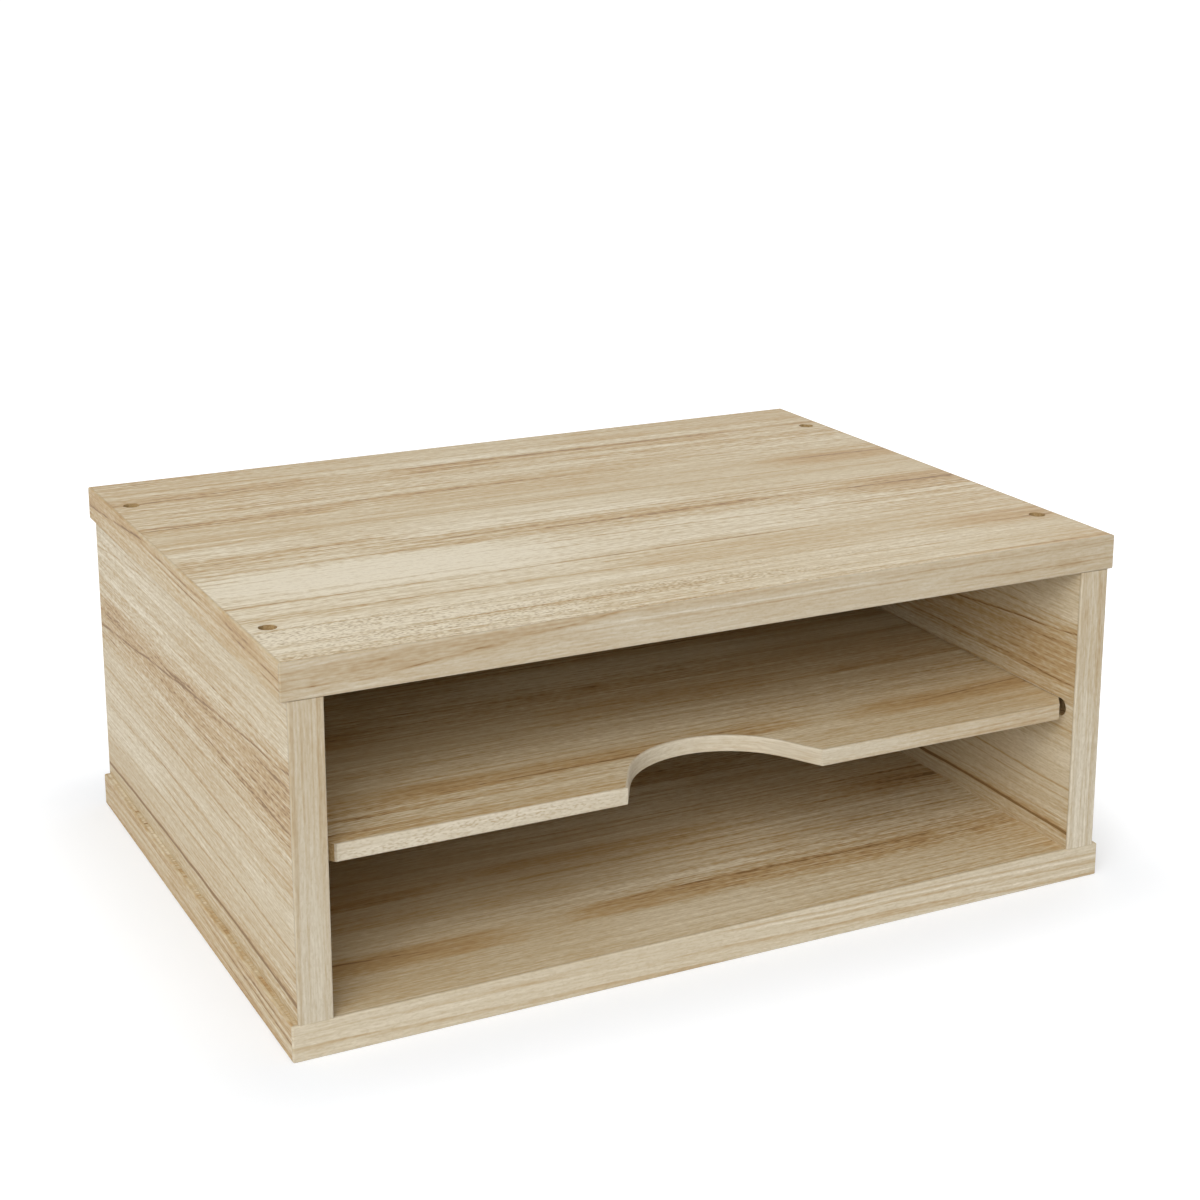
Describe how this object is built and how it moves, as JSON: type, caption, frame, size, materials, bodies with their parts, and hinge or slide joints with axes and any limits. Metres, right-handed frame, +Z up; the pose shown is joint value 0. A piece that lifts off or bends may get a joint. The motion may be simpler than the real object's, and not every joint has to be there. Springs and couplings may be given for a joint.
{
  "type": "mail sorter",
  "caption": "Low open-fronted desktop mail sorter of light oak board: a box with a closed back, a thin mid-height shelf with a finger notch, and stacking peg holes in top and bottom.",
  "frame": {"origin": "centre of the underside, on the surface that it stands on", "axes": "+X to the user's right across the width, +Y from the open front to the back, +Z up"},
  "size_m": [0.343, 0.254, 0.144],
  "materials": {
    "light_oak_board": "matte light oak face on a brown board core",
    "light_oak_band": "matte light oak edge band",
    "beech_dowel": "unfinished"
  },
  "bodies": {
    "case": {"top_panel": "light_oak_board", "bottom_panel": "light_oak_board", "left_side_panel": "light_oak_board", "right_side_panel": "light_oak_board", "back_panel": "light_oak_board", "top_front_edge_band": "light_oak_band", "top_back_edge_band": "light_oak_band", "top_left_edge_band": "light_oak_band", "top_right_edge_band": "light_oak_band", "bottom_front_edge_band": "light_oak_band", "bottom_back_edge_band": "light_oak_band", "bottom_left_edge_band": "light_oak_band", "bottom_right_edge_band": "light_oak_band", "left_side_front_edge_band": "light_oak_band", "left_side_back_edge_band": "light_oak_band", "right_side_front_edge_band": "light_oak_band", "right_side_back_edge_band": "light_oak_band", "top_left_dowels": "beech_dowel", "top_right_dowels": "beech_dowel", "bottom_left_dowels": "beech_dowel", "bottom_right_dowels": "beech_dowel"},
    "shelf": {"shelf": "light_oak_board", "shelf_front_edge_band": "light_oak_band"}
  },
  "joints": [
    {"name": "shelf_slide", "type": "slide", "parent": "case", "child": "shelf", "axis": [0, 1, 0], "range_m": [-0.0024, 0.0026]}
  ]
}
